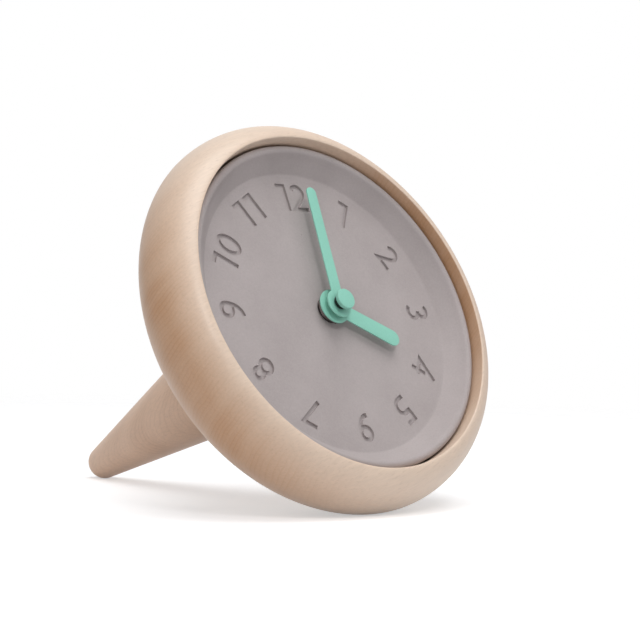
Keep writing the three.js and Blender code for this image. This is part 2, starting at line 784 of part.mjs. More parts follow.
// The battery lies along X, its positive end to the right.
const batteryRight = caseInnerHalf - seatGap - contactThickness - seatGap;
const batteryLeft = batteryRight - batteryNubLength - batteryLength;
function batterySolid() {
  const can = batteryLeft + batteryLength;
  const body = turned(
    [
      [0, batteryLeft],
      [batteryRadius - batteryCrimp, batteryLeft],
      [batteryRadius, batteryLeft + batteryCrimp],
      [batteryRadius, can - batteryCrimp],
      [batteryRadius - batteryCrimp, can],
      [batteryNubRadius, can],
      [batteryNubRadius, batteryRight],
      [0, batteryRight],
    ],
    hiddenSides,
  );
  return body.rotate([0, 90, 0]).translate([0, batteryY, batteryZ]);
}

function positiveContactSolid() {
  const outer = caseInnerHalf - seatGap;
  const [y0, y1] = [batteryY - contactWidth / 2, batteryY + contactWidth / 2];
  const [z0, z1] = [batteryZ - contactWidth / 2, batteryZ + contactWidth / 2];
  return block(outer - contactThickness, outer, y0, y1, z0, z1);
}

// Negative contact: a bowed leaf that springs against the battery.
function negativeContactSolid() {
  const wall = seatGap - caseInnerHalf;
  const crown = batteryLeft - seatGap;
  const half = contactWidth / 2;
  const bow = (end, middle) =>
    new THREE.QuadraticBezierCurve(
      new THREE.Vector2(end, -half),
      new THREE.Vector2(2 * middle - end, 0),
      new THREE.Vector2(end, half),
    ).getPoints(arcSteps);
  const front = bow(wall + contactThickness, crown);
  const back = bow(wall, crown - contactThickness).reverse();
  const leaf = plate(new THREE.Shape([...front, ...back]), batteryZ - half, batteryZ + half);
  return leaf.translate([0, batteryY, 0]);
}

// Board on the left, with the sealed chip as a low dome, and the crystal lying beside it.
const boardLeft = seatGap - caseInnerHalf;
const boardBottom = partitionTop + seatGap;
const boardBack = caseFront - boardDepth - boardThickness;
const boardFront = boardBack + boardThickness;
function circuitBoardSolid() {
  const board = block(
    boardLeft,
    boardLeft + boardWidth,
    boardBottom,
    boardBottom + boardLength,
    boardBack,
    boardFront,
  );
  const dome = rod(chipDomeRadius, boardBack + boardThickness / 2, boardFront + boardThickness, postSides);
  const domeY = boardBottom + chipPlaceShare * boardLength;
  return joined(board, dome.translate([boardLeft + boardWidth / 2, domeY, 0]));
}
const crystalSolid = () =>
  rod(crystalRadius, -crystalLength / 2, crystalLength / 2, postSides)
    .rotate([0, 90, 0])
    .translate([
      boardLeft + boardWidth / 2,
      boardBottom + crystalPlaceShare * boardLength,
      boardFront + seatGap + crystalRadius,
    ]);

// Coil of the stepping motor: a core bar through a bobbin, wound with wire, on a flat stator.
const coilPlace = [coilCentreX, coilY, coilZ];
const coilTubeRadius = Math.hypot(coreWidth, coreThickness) / 2 + seatGap + bobbinTubeWall;
function bobbinSolid() {
  const flangeEnd = coilHalf + coilFlangeThickness;
  const body = joined(
    rod(coilTubeRadius, -flangeEnd, flangeEnd, hiddenSides),
    rod(coilFlangeRadius, -flangeEnd, -coilHalf, hiddenSides),
    rod(coilFlangeRadius, coilHalf, flangeEnd, hiddenSides),
  ).rotate([0, 90, 0]);
  const slotY = coreWidth / 2 + seatGap;
  const slotZ = coreThickness / 2 + seatGap;
  const reach = flangeEnd + overrun;
  return cut(body, block(-reach, reach, -slotY, slotY, -slotZ, slotZ)).translate(coilPlace);
}
const windingSolid = () =>
  ring(coilTubeRadius + seatGap, coilRadius, seatGap - coilHalf, coilHalf - seatGap, hiddenSides)
    .rotate([0, 90, 0])
    .translate(coilPlace);
function coreSolid() {
  const [halfWidth, halfThickness] = [coreWidth / 2, coreThickness / 2];
  const bar = block(-coreHalf, coreHalf, -halfWidth, halfWidth, -halfThickness, halfThickness);
  return bar.translate(coilPlace);
}

// Stator: a flat yoke behind the core's ends, with the rotor's hole in its lower bar.
function statorSolid() {
  const [front, back] = [statorFront, statorBack];
  const armTop = coreWidth / 2;
  const barTop = statorBar / 2 - statorReach;
  const left = block(-coreHalf, statorBar - coreHalf, -statorReach, armTop, back, front);
  const right = block(coreHalf - statorBar, coreHalf, -statorReach, armTop, back, front);
  const bar = block(-coreHalf, coreHalf, barTop - statorBar, barTop, back, front);
  const pole = rod(statorPoleRadius, back, front, hiddenSides).translate([0, -statorReach, 0]);
  const opening = rod(rotorHoleRadius, back - overrun, front + overrun, hiddenSides);
  const hole = opening.translate([0, -statorReach, 0]);
  return cut(joined(left, right, bar, pole), hole).translate([coilCentreX, coilY, 0]);
}

// Assembly
const clock = new THREE.Group();

function place(name, solid, material, x = 0, y = 0, turn = 0) {
  const mesh = new THREE.Mesh(geometryOf(solid), material);
  mesh.name = name;
  mesh.position.set(x, y, 0);
  mesh.rotation.z = turn;
  clock.add(mesh);
}

place("bowl", bowlSolid(), beech);
place("leg", legSolid(), beech);
place("leg_insert", legInsertSolid(), brass);
const legWasher = ring(boltRadius + seatGap, legWasherRadius, legWasherBottom, legWasherTop, hiddenSides);
place("leg_washer", legWasher, steel);
place("leg_bolt", legBoltSolid(), steel);
for (let i = 0; i < magnetCount; i++) {
  const angle = Math.PI / 2 + (i * 2 * Math.PI) / magnetCount;
  const [x, y] = [magnetCircle * Math.cos(angle), magnetCircle * Math.sin(angle)];
  place(`magnet_${i + 1}`, rod(magnetRadius, magnetBottom, magnetTop, hiddenSides), magnetPlate, x, y);
  place(`steel_disc_${i + 1}`, rod(magnetRadius, steelDiscBottom, steelDiscTop, hiddenSides), steel, x, y);
}
place("dial", dialSolid(), concrete);
const gasket = ring(bushRadius + seatGap, gasketRadius, gasketBottom, gasketTop, hiddenSides);
place("rubber_gasket", gasket, rubber);
place("dial_washer", ring(bushRadius + seatGap, washerRadius, washerBottom, washerTop), darkSteel);
place("hex_nut", nutSolid(), darkSteel);
place("movement_front_case", frontCaseSolid(), blackPlastic);
place("movement_back_case", backCaseSolid(), blackPlastic);
place("battery", batterySolid(), batteryWrap);
place("positive_contact", positiveContactSolid(), steel);
place("negative_contact", negativeContactSolid(), steel);
place("circuit_board", circuitBoardSolid(), boardGreen);
place("quartz_crystal", crystalSolid(), steel);
place("stator", statorSolid(), steel);
place("coil_core", coreSolid(), steel);
place("coil_bobbin", bobbinSolid(), whitePlastic);
place("coil_winding", windingSolid(), copper);
place("minute_arbor", minuteArborSolid(), steel);
place("hour_wheel", hourWheelSolid(), whitePlastic);
place("minute_wheel", minuteWheelSolid(), whitePlastic, minuteWheelX, minuteWheelY);
place("set_knob", setKnobSolid(), whitePlastic, setKnobX, setKnobY);
place("train_bridge", trainBridgeSolid(), whitePlastic);
place("centre_wheel", centreWheelSolid(), whitePlastic);
place("slow_wheel", slowWheelSolid(), whitePlastic, slowWheelX, slowWheelY);
place("fast_wheel", fastWheelSolid(), whitePlastic, fastWheelX, fastWheelY);
place("rotor", rotorSolid(), magnetPlate, rotorX, rotorY);
place("hour_hand", hourHandSolid(), mintPaint, 0, 0, -hourHandAngle * degrees);
place("minute_hand", minuteHandSolid(), mintPaint, 0, 0, -minuteHandAngle * degrees);
const collar = ring(minuteArborRadius + seatGap, collarRadius, collarBottom, collarTop);
place("minute_collar", collar, blackPlastic);
place("centre_cap", capSolid(), mintPaint);

// The origin is on the table, below the middle of the leaning clock.
clock.rotation.x = Math.PI / 2 - tilt;
clock.position.z = restHeight;
const extent = new THREE.Box3().setFromObject(clock, true);
clock.position.y = -(extent.min.y + extent.max.y) / 2;

const group = new THREE.Group();
group.add(clock);
export default group;
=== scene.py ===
# %% [markdown]
# # A wooden table clock
# A bowl turned from beech holds a dish of cast concrete with the hours sunk into it. A conical leg on the
# bowl's axis props it up, like a spinning top at rest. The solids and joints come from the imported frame.
# This file dresses them: smooth turned surfaces, sunk numerals, soft edges and the finish of each part.

# %% Load the frame
import json
import math

import bmesh
import bpy
from mathutils import Matrix, Vector


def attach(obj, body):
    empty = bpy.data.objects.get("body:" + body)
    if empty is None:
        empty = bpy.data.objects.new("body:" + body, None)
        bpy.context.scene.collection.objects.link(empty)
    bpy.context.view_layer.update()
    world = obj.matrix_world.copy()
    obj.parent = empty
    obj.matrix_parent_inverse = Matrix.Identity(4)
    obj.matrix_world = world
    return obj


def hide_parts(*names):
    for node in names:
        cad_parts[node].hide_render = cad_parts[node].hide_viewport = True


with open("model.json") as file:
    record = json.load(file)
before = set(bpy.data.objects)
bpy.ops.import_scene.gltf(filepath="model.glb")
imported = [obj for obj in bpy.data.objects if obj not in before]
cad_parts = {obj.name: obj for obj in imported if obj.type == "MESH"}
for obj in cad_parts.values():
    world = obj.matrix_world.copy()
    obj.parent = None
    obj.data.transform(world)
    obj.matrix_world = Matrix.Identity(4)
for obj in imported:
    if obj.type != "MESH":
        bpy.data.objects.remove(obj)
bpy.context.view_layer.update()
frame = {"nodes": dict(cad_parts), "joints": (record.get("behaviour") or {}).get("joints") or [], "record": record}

# %% [markdown]
# ## Working in the clock's own frame
# A turned object is easiest to draw standing on its axis. The joint of the hands says where that axis runs,
# so everything is modelled in millimetres with the dial facing +Z and 12 o'clock at +Y. The objects could be
# tilted afterwards, but a finished one stays at the origin, unturned. So one matrix leans each mesh back into
# place. The same matrix, turned round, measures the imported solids.

# %% The clock's frame
joints = {joint["name"]: joint for joint in frame["joints"]}
dial_normal = Vector(joints["dial_lift"]["axis"]).normalized()
dial_centre = Vector(joints["minute_hand_turn"]["pos_m"])
clock_x = Vector((1, 0, 0))
clock_y = dial_normal.cross(clock_x)
clock_turn = Matrix((clock_x, clock_y, dial_normal)).transposed()
millimetre = 0.001
clock_to_scene = Matrix.LocRotScale(dial_centre, clock_turn.to_quaternion(), (millimetre,) * 3)
scene_to_clock = clock_to_scene.inverted()
print("leans back by", round(math.degrees(math.asin(dial_normal.z)), 2), "degrees")


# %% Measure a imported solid
def measured(node):
    """A solid's largest and smallest radius about the clock's axis, and its lowest and highest level."""
    points = [scene_to_clock @ v.co for v in frame["nodes"][node].data.vertices]
    radii = [math.hypot(p.x, p.y) for p in points]
    levels = [p.z for p in points]
    return max(radii), min(radii), min(levels), max(levels)


bowl_radius, tenon_hole_radius, bowl_bottom, lip_top = measured("bowl")
leg_radius, _, leg_bottom, leg_top = measured("leg")
dial_radius, dial_hole_radius, dial_back, rim_top = measured("dial")
print(f"bowl {2 * bowl_radius:.1f} mm across, dial {2 * dial_radius:.1f} mm across")
print(f"leg {leg_top - leg_bottom:.1f} mm long")

# %% [markdown]
# ## Camera
# The photo is taken from the left, almost level with the table, with a long lens. The camera could be aimed
# by eye, but two angles and a distance are easier to fit. So it is placed by the angle it looks from and its
# distance in metres, and rolled a little, as a camera held by hand is.

# %% Camera
azimuth, elevation, roll = math.radians(-42.9), math.radians(0.69), math.radians(1.3)
distance, aside, above = 0.7582, 0.00046, -0.00116
photo_focal_pixels, photo_width_pixels = 1973.2, 640

back = Vector(
    (math.sin(azimuth) * math.cos(elevation), -math.cos(azimuth) * math.cos(elevation), math.sin(elevation))
)
level_right = Vector((math.cos(azimuth), math.sin(azimuth), 0))
level_up = back.cross(level_right)
right = level_right * math.cos(roll) + level_up * math.sin(roll)
up = level_up * math.cos(roll) - level_right * math.sin(roll)

camera = bpy.data.objects.new("camera", bpy.data.cameras.new("camera"))
camera.data.sensor_fit = "HORIZONTAL"
camera.data.sensor_width = 36
camera.data.lens = photo_focal_pixels * camera.data.sensor_width / photo_width_pixels
camera.data.clip_start = 0.01
camera.location = dial_centre + back * distance + level_right * aside + level_up * above
camera.rotation_euler = Matrix((right, up, back)).transposed().to_euler()
bpy.context.scene.collection.objects.link(camera)
bpy.context.scene.camera = camera
bpy.context.scene.view_settings.view_transform = "Standard"
print("lens", round(camera.data.lens, 1), "mm")


# %% [markdown]
# ## Materials in general
# Colours are written as on a colour chart and turned to the linear values that shaders work with. A pattern
# could be painted on an image, but a procedural one stays sharp and needs no unwrapping. Every pattern is
# laid out in millimetres of the real clock, so that a grain or a pore has its real size.

# %% Colours and nodes
def linear(code):
    """The linear colour of an sRGB hex code."""
    shares = [int(code[i : i + 2], 16) / 255 for i in (0, 2, 4)]
    return tuple(s / 12.92 if s <= 0.04045 else ((s + 0.055) / 1.055) ** 2.4 for s in shares) + (1,)


def add_node(tree, kind, inputs=None, **settings):
    """Adds one node. inputs names its sockets, each with a value or with the output that feeds it."""
    made = tree.nodes.new("ShaderNode" + kind)
    for name, value in settings.items():
        setattr(made, name, value)
    for socket, value in (inputs or {}).items():
        if isinstance(value, bpy.types.NodeSocket):
            tree.links.new(value, made.inputs[socket])
        else:
            made.inputs[socket].default_value = value
    return made


def set_ramp(ramp, *stops):
    """Gives a colour ramp its stops, each a place and a colour or a grey value."""
    marks = ramp.color_ramp.elements
    while len(marks) < len(stops):
        marks.new(1)
    for mark, (place, colour) in zip(marks, stops):
        mark.position = place
        mark.color = linear(colour) if isinstance(colour, str) else (colour, colour, colour, 1)
    return ramp


# A Mix node has sockets for numbers, vectors and colours. These are the places of those for colours.
first_colour, second_colour, mixed_colour = 6, 7, 2


# %% Shader and pattern space
def new_material(name, **sockets):
    """A material with one Principled shader. Returns it, its nodes and the shader."""
    material = bpy.data.materials.new(name)
    material.use_nodes = True
    tree = material.node_tree
    tree.nodes.clear()
    named = {socket.replace("_", " "): value for socket, value in sockets.items()}
    shader = add_node(tree, "BsdfPrincipled", named)
    add_node(tree, "OutputMaterial", {"Surface": shader.outputs["BSDF"]})
    return material, tree, shader


def in_millimetres(tree, turn=clock_turn, stretch=(1, 1, 1)):
    """The place on the object in millimetres along the axes of turn. A stretch draws the pattern out."""
    place = add_node(tree, "TexCoord")
    return add_node(
        tree,
        "Mapping",
        {
            "Vector": place.outputs["Object"],
            "Location": dial_centre,
            "Rotation": turn.to_euler(),
            "Scale": [millimetre * s for s in stretch],
        },
        vector_type="TEXTURE",
    ).outputs["Vector"]


# %% [markdown]
# ## Floor and background
# White paper carries the shadow and throws light back up under the bowl. A floor that is bright by its lamps
# alone would take so much light that the clock turned pale. So to the eye, and in shiny parts, paper and
# world glow white, and for all other rays they are plain paper and a dim room.

# %% Rays that see the backdrop
def backdrop_rays(tree):
    """A share that is 1 for rays from the camera, off gloss or through glass, and 0 for all others."""
    rays = add_node(tree, "LightPath")
    seen = add_node(
        tree, "Math", {0: rays.outputs["Is Camera Ray"], 1: rays.outputs["Is Glossy Ray"]}, operation="ADD"
    )
    seen_through = add_node(
        tree,
        "Math",
        {0: seen.outputs[0], 1: rays.outputs["Is Transmission Ray"]},
        operation="ADD",
        use_clamp=True,
    )
    return seen_through.outputs[0]


# %% Paper
# The paper's tone drifts over a few centimetres, and its glow is a share of full white.
paper_glow, paper_cloud = 0.45, 40
solid_to, gone_at = 0.3, 0.8

floor_material, tree, shader = new_material(
    "white_paper", Roughness=0.9, Specular_IOR_Level=0.2, Emission_Color=linear("ffffff")
)
paper = add_node(tree, "TexNoise", {"Vector": in_millimetres(tree), "Scale": 1 / paper_cloud, "Detail": 2})
tone = set_ramp(add_node(tree, "ValToRGB", {"Fac": paper.outputs["Fac"]}), (0, "ecedef"), (1, "eeeff1"))
tree.links.new(tone.outputs["Color"], shader.inputs["Base Color"])
glow = add_node(tree, "Math", {0: backdrop_rays(tree), 1: paper_glow}, operation="MULTIPLY")
tree.links.new(glow.outputs[0], shader.inputs["Emission Strength"])

# The sheet thins out to nothing between two distances in metres, so that it has no far edge.
place = add_node(tree, "TexCoord")
reach = add_node(tree, "VectorMath", {0: place.outputs["Object"]}, operation="LENGTH")
solid = add_node(
    tree,
    "MapRange",
    {"Value": reach.outputs["Value"], "From Min": solid_to, "From Max": gone_at, "To Min": 1, "To Max": 0},
    interpolation_type="SMOOTHSTEP",
)
tree.links.new(solid.outputs[0], shader.inputs["Alpha"])

# %% Floor
mesh = bpy.data.meshes.new("floor")
bm = bmesh.new()
bmesh.ops.create_circle(bm, cap_ends=True, segments=64, radius=gone_at)
bm.to_mesh(mesh)
bm.free()
mesh.materials.append(floor_material)
floor = bpy.data.objects.new("floor", mesh)
bpy.context.scene.collection.objects.link(floor)
print("paper", 2 * gone_at, "m across")

# %% World
towards_wall, dimmest, brightest = (-0.6, -0.5, 0.62), 0.1, 0.32

world = bpy.data.worlds.new("studio")
world.use_nodes = True
bpy.context.scene.world = world
tree = world.node_tree
tree.nodes.clear()
direction = add_node(tree, "TexCoord")
towards_light = add_node(
    tree, "VectorMath", {0: direction.outputs["Generated"], 1: towards_wall}, operation="DOT_PRODUCT"
)
brightness = add_node(
    tree,
    "MapRange",
    {
        "Value": towards_light.outputs["Value"],
        "From Min": -1,
        "From Max": 1,
        "To Min": dimmest,
        "To Max": brightest,
    },
)
room = add_node(tree, "Background", {"Color": linear("fdfdff"), "Strength": brightness.outputs[0]})
backdrop = add_node(tree, "Background", {"Color": linear("ffffff"), "Strength": 1})
both = add_node(tree, "MixShader", {0: backdrop_rays(tree), 1: room.outputs[0], 2: backdrop.outputs[0]})
add_node(tree, "OutputWorld", {"Surface": both.outputs[0]})
print("the room's light runs from", dimmest, "to", brightest)

# %% [markdown]
# ## Lamps
# The room lights the clock like a soft wall on the front left. A broad softbox overhead gives the bowl its
# bright shoulder, and a small one in front gives the hands their narrow shadows. Two weak ones at the sides
# keep its flanks and the walls of the dish from going dark. One large lamp would light as much, but flatly.

# %% Lamps
lamp_distance = 1.3


def softbox(name, direction, size, energy):
    """A round softbox that faces the dial's centre from a direction in the clock's frame."""
    towards = (clock_turn @ Vector(direction)).normalized()
    lamp = bpy.data.objects.new(name, bpy.data.lights.new(name, "AREA"))
    lamp.data.shape = "DISK"
    lamp.data.size = size
    lamp.data.energy = energy
    lamp.location = dial_centre + towards * lamp_distance
    lamp.rotation_euler = towards.to_track_quat("Z", "Y").to_euler()
    bpy.context.scene.collection.objects.link(lamp)
    print(name, "at", [round(c, 2) for c in lamp.location])


softbox("overhead_softbox", (0, 1, 0.72), size=1.2, energy=11.0)
softbox("front_softbox", (-0.35, 0.25, 1), size=0.32, energy=3.2)
softbox("left_softbox", (-1, 0.3, 0.5), size=1.2, energy=2.3)
softbox("right_softbox", (0.7, 0.2, 0.7), size=0.5, energy=1.0)


# %% [markdown]
# ## Making turned pieces
# On the lathe a piece is its profile swept round the axis. The profile could be a curve with a screw
# modifier, but bmesh's spin does the same in one step. A chain of edges goes round a full turn and closes on
# itself.

# %% Profiles
def curve_between(start, start_handle, end_handle, end, steps):
    """Points of a Bezier curve in radius and level, without its first point."""
    corners = [Vector(p) for p in (start, start_handle, end_handle, end)]
    points = []
    for step in range(1, steps + 1):
        t = step / steps
        shares = ((1 - t) ** 3, 3 * t * (1 - t) ** 2, 3 * t * t * (1 - t), t**3)
        points.append(tuple(sum((c * s for c, s in zip(corners, shares)), Vector((0, 0)))))
    return points


def rounded_corner(before, corner, after, steps, handle_shares=(0.45, 0.45)):
    """A curve that rounds a corner. The shares say how far from the corner its two handles are."""
    handles = [Vector(corner).lerp(Vector(p), s) for p, s in zip((before, after), handle_shares)]
    return curve_between(before, *handles, after, steps)


def ring_profile(hole, radius, bottom, top):
    """The section of a plain ring."""
    return [(hole, bottom), (radius, bottom), (radius, top), (hole, top)]


# %% Spin and soften
weld_distance = 0.0005


def chain(bm, points, closed=False):
    """Joins points by edges."""
    verts = [bm.verts.new(p) for p in points]
    pairs = list(zip(verts, verts[1:])) + ([(verts[-1], verts[0])] if closed else [])
    return verts, [bm.edges.new(pair) for pair in pairs]


def turned(profile, segments, closed=True, radius_share=1):
    """Spins a profile of (radius, level) points once round the axis. The share scales its radii."""
    bm = bmesh.new()
    verts, edges = chain(bm, [(r * radius_share, 0, z) for r, z in profile], closed)
    bmesh.ops.spin(
        bm,
        geom=verts + edges,
        cent=(0, 0, 0),
        axis=(0, 0, 1),
        angle=2 * math.pi,
        steps=segments,
        use_merge=True,
    )
    bmesh.ops.remove_doubles(bm, verts=bm.verts, dist=weld_distance)
    bmesh.ops.recalc_face_normals(bm, faces=bm.faces)
    return bm


def soften(bm, width, sharper_than=60, segments=2):
    """Rounds the edges that turn by more than an angle in degrees."""
    limit = math.radians(sharper_than)
    sharp = [e for e in bm.edges if len(e.link_faces) == 2 and e.calc_face_angle() > limit]
    bmesh.ops.bevel(
        bm,
        geom=sharp,
        offset=width,
        offset_type="OFFSET",
        affect="EDGES",
        segments=segments,
        profile=0.5,
        material=-1,
        clamp_overlap=True,
    )


# %% Finish a piece
replaced_nodes = set()


def placed(bm, name):
    """Leans a mesh from the clock's frame back into place, as an object at the origin."""
    mesh = bpy.data.meshes.new(name)
    bm.to_mesh(mesh)
    bm.free()
    mesh.transform(clock_to_scene)
    made = bpy.data.objects.new(name, mesh)
    bpy.context.scene.collection.objects.link(made)
    return made


def finish_piece(bm, name, body, material, node, smooth_below=35):
    """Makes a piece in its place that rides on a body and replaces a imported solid."""
    piece = placed(bm, name)
    piece.data.materials.append(material)
    piece.data.shade_smooth()
    piece.data.set_sharp_from_angle(angle=math.radians(smooth_below))
    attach(piece, body)
    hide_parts(node)
    replaced_nodes.add(node)
    print(f"{name}: {len(piece.data.polygons)} faces")
    return piece


def shape_with(piece, tool, operation, crossing=False):
    """Applies a boolean to a piece and removes its tool. crossing says that the tool crosses itself."""
    boolean = piece.modifiers.new("shape_with_tool", "BOOLEAN")
    boolean.object, boolean.operation = tool, operation
    boolean.solver, boolean.use_self = "EXACT", crossing
    bpy.context.view_layer.update()
    evaluated = piece.evaluated_get(bpy.context.evaluated_depsgraph_get())
    shaped = bpy.data.meshes.new_from_object(evaluated)
    piece.modifiers.clear()
    piece.data = shaped
    bpy.data.objects.remove(tool)
    print(f"{piece.name} shaped: {len(shaped.polygons)} faces")


# %% [markdown]
# ## Beech
# Beech is a pale, even wood with soft growth rings and many short, fine brown flecks along the fibres. It was
# sanded and given a matt oil. Where the fibres end at the surface it drinks more oil and turns a warm tan. On the
# bowl that tan is partly real and partly painted shade, as its end grain lies on the lower left flank that faces
# away from the lamps, and the paler side grain of its lit top is partly a painted highlight.
# Rings could be stretched over each face, but on a turned form that shows at once. So a solid board is drawn
# with X along the fibres and Z across the growth rings, and cutting a round form out of it gives the rings
# and the tan end grain their real places.

# %% Growth rings
def growth_rings(tree, board, ring_spacing, wander_stretch, wander_depth):
    """How dark the growth rings of a board are, from pale early wood to the late wood of dark years."""
    drift_width, year_width, along_bands = 30, 7, 0.12
    wave_period = math.pi / 10
    early_tone, late_rise = 0.6, 0.35

    # The rings wander a little, so their places are pushed about by a slow noise.
    slow = add_node(
        tree,
        "TexNoise",
        {
            "Vector": in_millimetres(tree, board, (wander_stretch, 1, 1)),
            "Scale": 1 / drift_width,
            "Detail": 2,
        },
    )
    bent = add_node(
        tree,
        "VectorMath",
        {0: slow.outputs["Color"], 1: (0, 0, wander_depth), 2: in_millimetres(tree, board)},
        operation="MULTIPLY_ADD",
    )
    # One ring is a full period of the wave, in the wave's own units.
    rings = add_node(
        tree,
        "TexWave",
        {"Vector": bent.outputs[0], "Scale": wave_period / ring_spacing, "Distortion": 0.9},
        wave_type="BANDS",
        bands_direction="Z",
        wave_profile="SAW",
    )
    # The wood darkens slowly through a year and ends in a thin line of late wood.
    late_wood = set_ramp(
        add_node(tree, "ValToRGB", {"Fac": rings.outputs["Fac"]}), (0, 0.0), (0.6, 0.1), (0.88, 1.0), (1, 0.0)
    )
    # Some years grew darker than others: soft bands a few millimetres wide along the rings.
    stretched = add_node(
        tree, "VectorMath", {0: bent.outputs[0], 1: (along_bands, along_bands, 1)}, operation="MULTIPLY"
    )
    years = add_node(
        tree, "TexNoise", {"Vector": stretched.outputs[0], "Scale": 1 / year_width, "Detail": 3}
    )
    year_tone = set_ramp(add_node(tree, "ValToRGB", {"Fac": years.outputs["Fac"]}), (0.3, 0.3), (0.7, 0.95))
    ring_tone = add_node(
        tree, "Math", {0: late_wood.outputs["Color"], 1: late_rise, 2: early_tone}, operation="MULTIPLY_ADD"
    )
    rings_and_years = add_node(
        tree, "Math", {0: ring_tone.outputs[0], 1: year_tone.outputs["Color"]}, operation="MULTIPLY"
    )
    return rings_and_years.outputs[0]


# %% End grain
def end_grain_seen(tree, along):
    """1 where the surface faces along the fibres, and 0 where the fibres lie in it."""
    place = add_node(tree, "TexCoord")
    facing = add_node(
        tree, "VectorMath", {0: place.outputs["Normal"], 1: clock_turn @ along}, operation="DOT_PRODUCT"
    )
    seen = add_node(
        tree, "Math", {0: facing.outputs["Value"], 1: facing.outputs["Value"]}, operation="MULTIPLY"
    )
    return seen.outputs[0]


# %% Fibres and flecks
def fibres_and_flecks(tree, shader, board, colour):
    """Gives the shader a board's colour with streaks and flecks, and the gloss and relief that they cause."""
    streak_pair, fleck_pair = 0.9, 0.5
    along_fibres, along_flecks = (14, 1, 1), (6, 1, 1)

    # Fibres: long faint streaks. A dark one and a pale one together are about a millimetre wide.
    streaks = add_node(
        tree,
        "TexNoise",
        {"Vector": in_millimetres(tree, board, along_fibres), "Scale": 1 / streak_pair, "Detail": 4},
    )
    streak_tone = set_ramp(
        add_node(tree, "ValToRGB", {"Fac": streaks.outputs["Fac"]}), (0.3, 0.92), (0.7, 1.0)
    )
    streaked = add_node(
        tree,
        "Mix",
        {"Factor": 1.0, first_colour: colour, second_colour: streak_tone.outputs["Color"]},
        data_type="RGBA",
        blend_type="MULTIPLY",
    )
    dulled = add_node(
        tree,
        "MapRange",
        {"Value": streaks.outputs["Fac"], "From Min": 0.2, "From Max": 0.8, "To Min": 0.34, "To Max": 0.46},
    )
    tree.links.new(dulled.outputs[0], shader.inputs["Roughness"])

    # Flecks: short brown dashes. Real ones are 0.1 mm wide and are drawn at 0.3 mm, so that they show.
    dashes = add_node(
        tree,
        "TexNoise",
        {"Vector": in_millimetres(tree, board, along_flecks), "Scale": 1 / fleck_pair, "Detail": 1},
    )
    dash_share = set_ramp(
        add_node(tree, "ValToRGB", {"Fac": dashes.outputs["Fac"]}), (0.6, 0.0), (0.72, 0.12)
    )
    flecked = add_node(
        tree,
        "Mix",
        {
            "Factor": dash_share.outputs["Color"],
            first_colour: streaked.outputs[mixed_colour],
            second_colour: linear("8f6a4c"),
        },
        data_type="RGBA",
    )
    tree.links.new(flecked.outputs[mixed_colour], shader.inputs["Base Color"])
    relief = add_node(
        tree,
        "Bump",
        {"Height": dash_share.outputs["Color"], "Strength": 0.2, "Distance": 0.03 * millimetre},
        invert=True,
    )
    tree.links.new(relief.outputs[0], shader.inputs["Normal"])


# %% Beech
def beech(name, fibres, rings_across, ring_spacing, wander, pale, tan, end_tan_and_shade, ring_strengths):
    """Beech with its fibres and the stacking of its growth rings given in the clock's frame.

    The rings wander by a stretch along the fibres and a depth in millimetres. A share says how tan end grain
    turns, partly from oil and partly as painted shade, and the strengths say how much the rings show on side
    grain and on end grain.
    """
    across = Vector(rings_across).normalized()
    along = (Vector(fibres) - across * across.dot(Vector(fibres))).normalized()
    board = clock_turn @ Matrix((along, across.cross(along), across)).transposed()
    material, tree, shader = new_material(name, Specular_IOR_Level=0.6)

    rings = growth_rings(tree, board, ring_spacing, *wander)
    end_on = end_grain_seen(tree, along)
    # End grain turns tan, partly from the oil it drinks and partly as painted shade on the flank away from the
    # lamps.
    oil_and_shade_share = add_node(tree, "MapRange", {"Value": end_on, "From Max": 0.85, "To Max": end_tan_and_shade})
    on_side, on_end = ring_strengths
    pattern_share = add_node(
        tree, "MapRange", {"Value": end_on, "From Max": 0.8, "To Min": on_side, "To Max": on_end}
    )
    tan_share = add_node(
        tree,
        "Math",
        {0: rings, 1: pattern_share.outputs[0], 2: oil_and_shade_share.outputs[0]},
        operation="MULTIPLY_ADD",
    )
    body_colour = add_node(
        tree,
        "Mix",
        {"Factor": tan_share.outputs[0], first_colour: linear(pale), second_colour: linear(tan)},
        data_type="RGBA",
    )
    fibres_and_flecks(tree, shader, board, body_colour.outputs[mixed_colour])
    return material


# %% The bowl's and the leg's wood
bowl_beech = beech(
    "oiled_beech_bowl",
    fibres=(1, 0.31, 0.15),
    rings_across=(-0.25, 1, -0.4),
    ring_spacing=1.5,
    wander=(3, 9),
    # The pale side grain is partly a painted highlight on the bowl's lit top.
    pale="e3cdb9",
    tan="b4845a",
    # The bowl's end grain tan is partly painted shade on its lower left flank.
    end_tan_and_shade=0.68,
    ring_strengths=(0.1, 0.34),
)
# The leg's rings lean a little against its axis, so that they run out of its side in long arcs.
ring_lean, ring_bearing = math.radians(15), math.radians(215)
leg_across = Vector((math.cos(ring_lean), 0, math.sin(ring_lean)))
leg_across.rotate(Matrix.Rotation(ring_bearing, 3, "Z"))
leg_beech = beech(
    "oiled_beech_leg",
    fibres=(0, 0, 1),
    rings_across=leg_across,
    ring_spacing=1.2,
    wander=(1, 7),
    pale="ebc9ae",
    tan="a97c5b",
    end_tan_and_shade=0.1,
    ring_strengths=(0.5, 0.3),
)
print("wood for", bowl_beech.name, "and", leg_beech.name)

# %% [markdown]
# ## Bowl
# The bowl is one turned piece: a flat back, a deep curved flank that rolls over the widest ring, a narrow
# lip, and a stepped hollow that takes the dial and its movement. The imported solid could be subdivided, but
# its flat sides would still show in the flank, so a smooth spin replaces it. Its radii are those of the
# middle of the solid's flat sides, so that it stands on the same spot of the table.

